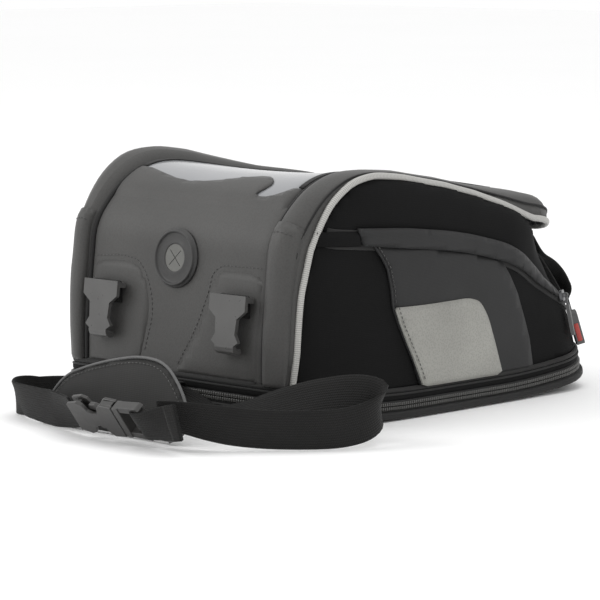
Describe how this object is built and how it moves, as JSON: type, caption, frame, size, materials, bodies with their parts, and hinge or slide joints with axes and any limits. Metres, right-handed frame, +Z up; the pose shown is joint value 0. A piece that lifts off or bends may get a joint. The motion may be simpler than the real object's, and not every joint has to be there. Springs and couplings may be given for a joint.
{
  "type": "motorcycle tank bag",
  "caption": "Quick-lock motorcycle tank bag with hinged lid, clear map window, expansion zip, strap hooks, cable port, grab loops and a padded waist belt.",
  "frame": {"origin": "on the ground under the middle of the bag's bounding box, belt left out", "axes": "+Z up, +Y from the hook end (front) towards the grab loops, +X towards the side with the zip pulls"},
  "size_m": [0.3651, 0.5182, 0.1969],
  "materials": {
    "charcoal_leather": "matte grained faux leather",
    "panel_smooth": "smooth coated fabric",
    "nylon_black": "matte ballistic nylon",
    "patch_light": "matte light grey woven",
    "reflective_silver": "retro-reflective ribbed band",
    "webbing_black": "ribbed webbing",
    "binding_dark": "woven binding",
    "coil_zip": "nylon coil",
    "buckle_plastic": "satin moulded",
    "window_clear": "clear flexible film over grey",
    "rubber_black": "matte",
    "port_rubber": "matte light grey",
    "tray_board": "matte",
    "pull_grey": "matte",
    "steel_small": "satin",
    "pad_mesh": "padded mesh"
  },
  "bodies": {
    "base": {"base_tray": "tray_board", "floor_pad": "nylon_black", "underside_pads": "rubber_black", "bottom_binding": "binding_dark", "expansion_zip_lower": "coil_zip", "expansion_gusset": "nylon_black", "expansion_slider": "steel_small", "lock_housing": "tray_board", "lock_spring": "steel_small", "lock_screws": "steel_small", "belt_keeper": "webbing_black", "belt_web_left": "webbing_black", "belt_web_right": "webbing_black", "belt_pad": "pad_mesh", "buckle_female": "buckle_plastic"},
    "bag": {"expansion_zip_upper": "coil_zip", "lower_band": "binding_dark", "seam_piping": "binding_dark", "side_wall_right": "nylon_black", "side_wall_left": "nylon_black", "rear_wall": "nylon_black", "front_wall": "charcoal_leather", "front_patches": "panel_smooth", "front_strips": "charcoal_leather", "front_piping": "binding_dark", "reflective_piping_lower": "reflective_silver", "side_panels": "panel_smooth", "side_patches": "patch_light", "cable_port_ring": "rubber_black", "cable_port_membrane": "port_rubber", "cable_port_backing": "rubber_black", "hook_tabs": "webbing_black", "main_zip_lower": "coil_zip", "zip_slider_tag": "steel_small", "zip_slider_slim": "steel_small"},
    "lid": {"lid_cap": "charcoal_leather", "lid_side_right": "nylon_black", "lid_side_left": "nylon_black", "lid_rear_wall": "nylon_black", "main_zip_upper": "coil_zip", "rain_flap_right": "panel_smooth", "rain_flap_left": "panel_smooth", "zip_garages": "panel_smooth", "lid_piping": "binding_dark", "reflective_piping_upper": "reflective_silver", "lid_strips": "charcoal_leather", "map_window": "window_clear", "window_binding": "binding_dark", "map_flap": "charcoal_leather"},
    "lock_latch": {"lock_latch": "buckle_plastic"},
    "belt_clip": {"buckle_male": "buckle_plastic", "belt_tail": "webbing_black"},
    "hook_right": {"hook_right": "buckle_plastic"},
    "hook_left": {"hook_left": "buckle_plastic"},
    "pull_tag": {"zip_pull_cord": "webbing_black", "zip_pull_tag": "pull_grey"},
    "pull_slim": {"zip_pull_slim": "pull_grey"},
    "loop_right": {"grab_loop_right": "webbing_black"},
    "loop_left": {"grab_loop_left": "webbing_black"}
  },
  "joints": [
    {"name": "expand", "type": "slide", "parent": "base", "child": "bag", "axis": [0, 0, 1], "range_m": [0, 0.05]},
    {"name": "lid_open", "type": "hinge", "parent": "bag", "child": "lid", "pos_m": [0, -0.1645, 0.155], "axis": [1, 0, 0], "range_deg": [0, 95]},
    {"name": "hook_right_swing", "type": "hinge", "parent": "bag", "child": "hook_right", "pos_m": [0.072, -0.18025, 0.09874], "axis": [-1, 0, 0], "range_deg": [0, 90]},
    {"name": "hook_left_swing", "type": "hinge", "parent": "bag", "child": "hook_left", "pos_m": [-0.072, -0.18025, 0.09874], "axis": [-1, 0, 0], "range_deg": [0, 90]},
    {"name": "loop_right_swing", "type": "hinge", "parent": "lid", "child": "loop_right", "pos_m": [0.076, 0.1525, 0.124], "axis": [1, 0, 0], "range_deg": [0, 60]},
    {"name": "loop_left_swing", "type": "hinge", "parent": "lid", "child": "loop_left", "pos_m": [-0.076, 0.1525, 0.124], "axis": [1, 0, 0], "range_deg": [0, 60]},
    {"name": "pull_tag_swing", "type": "hinge", "parent": "bag", "child": "pull_tag", "pos_m": [0.12375, 0.15808, 0.0753], "axis": [0.7431, -0.6691, 0], "range_deg": [0, 110]},
    {"name": "pull_slim_swing", "type": "hinge", "parent": "bag", "child": "pull_slim", "pos_m": [0.13494, 0.14283, 0.07889], "axis": [0.5, -0.866, 0], "range_deg": [0, 110]},
    {"name": "latch_pull", "type": "slide", "parent": "base", "child": "lock_latch", "axis": [0, -1, 0], "range_m": [0, 0.006], "stiffness_N_per_m": 150, "springref_m": -0.004, "deforming": ["lock_spring"]},
    {"name": "buckle_release", "type": "slide", "parent": "base", "child": "belt_clip", "axis": [0.9976, 0.0698, 0], "range_m": [0, 0.028]}
  ]
}
